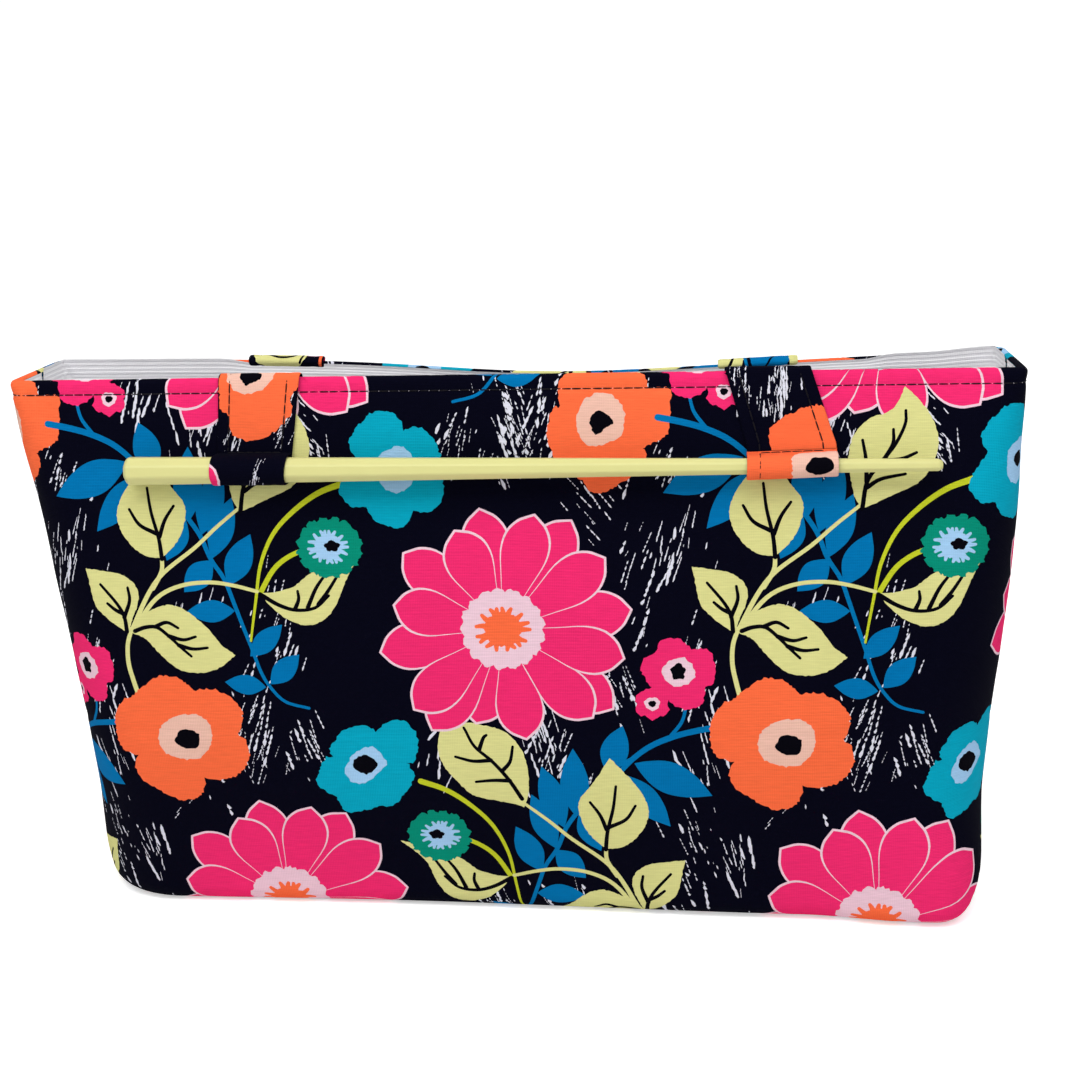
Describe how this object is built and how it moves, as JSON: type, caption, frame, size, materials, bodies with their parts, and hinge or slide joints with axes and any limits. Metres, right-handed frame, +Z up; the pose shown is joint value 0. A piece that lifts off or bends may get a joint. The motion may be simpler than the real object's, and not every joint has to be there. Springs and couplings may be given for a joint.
{
  "type": "knitting bag",
  "caption": "Soft boxed knitting bag in printed cotton with a white ribbed lining, two short straps over each long rim and a tapered stick handle held in the straps' casings.",
  "frame": {"origin": "middle of the flat base", "axes": "+X along the bag, the front face towards -Y, +Z up"},
  "size_m": [0.312, 0.075, 0.1748],
  "materials": {
    "printed_cotton": "plain-weave cotton, printed with large flowers and leaves on near-black, matte",
    "interlining": "plain white interlining, matte",
    "lining": "white cloth with fine ribs, matte",
    "painted_wood": "pale yellow paint on eight-sided wood, satin"
  },
  "bodies": {
    "bag": {"outer_front": "printed_cotton", "outer_back": "printed_cotton", "interlining_front": "interlining", "interlining_back": "interlining", "lining_front": "lining", "lining_back": "lining", "front_left_strap_tail": "printed_cotton", "front_right_strap_tail": "printed_cotton", "back_left_strap_tail": "printed_cotton", "back_right_strap_tail": "printed_cotton"},
    "front_handle": {"front_left_strap": "printed_cotton", "front_right_strap": "printed_cotton"},
    "front_stick": {"front_stick": "painted_wood"},
    "back_handle": {"back_left_strap": "printed_cotton", "back_right_strap": "printed_cotton"},
    "back_stick": {"back_stick": "painted_wood"}
  },
  "joints": [
    {"name": "front_handle_swing", "type": "hinge", "parent": "bag", "child": "front_handle", "pos_m": [0, -0.02, 0.1738], "axis": [-1, 0, 0], "range_deg": [0, 170]},
    {"name": "back_handle_swing", "type": "hinge", "parent": "bag", "child": "back_handle", "pos_m": [0, 0.02, 0.1738], "axis": [1, 0, 0], "range_deg": [0, 170]},
    {"name": "front_stick_slide", "type": "slide", "parent": "front_handle", "child": "front_stick", "axis": [-1, 0, 0], "range_m": [0, 0.2]},
    {"name": "back_stick_slide", "type": "slide", "parent": "back_handle", "child": "back_stick", "axis": [1, 0, 0], "range_m": [0, 0.2]}
  ]
}
